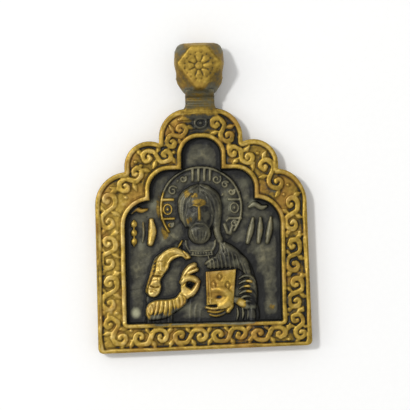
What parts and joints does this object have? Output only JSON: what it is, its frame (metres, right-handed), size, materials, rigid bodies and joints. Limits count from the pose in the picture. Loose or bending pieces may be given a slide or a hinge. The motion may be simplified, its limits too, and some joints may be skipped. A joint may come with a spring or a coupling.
{
  "type": "small cast bronze icon pendant",
  "caption": "Cast bronze icon pendant: stepped-arch plate with a scroll border, a haloed figure in relief and a bored bead for a cord.",
  "frame": {"origin": "middle of the outline at the flat back of the plate", "axes": "+X to the right of the face, +Y up the icon towards the bail, +Z out of the face"},
  "size_m": [0.042, 0.0604, 0.0074],
  "materials": {
    "bronze": "worn cast bronze, dark patina in the hollows"
  },
  "bodies": {
    "root": {"cast_icon": "bronze"}
  },
  "joints": []
}
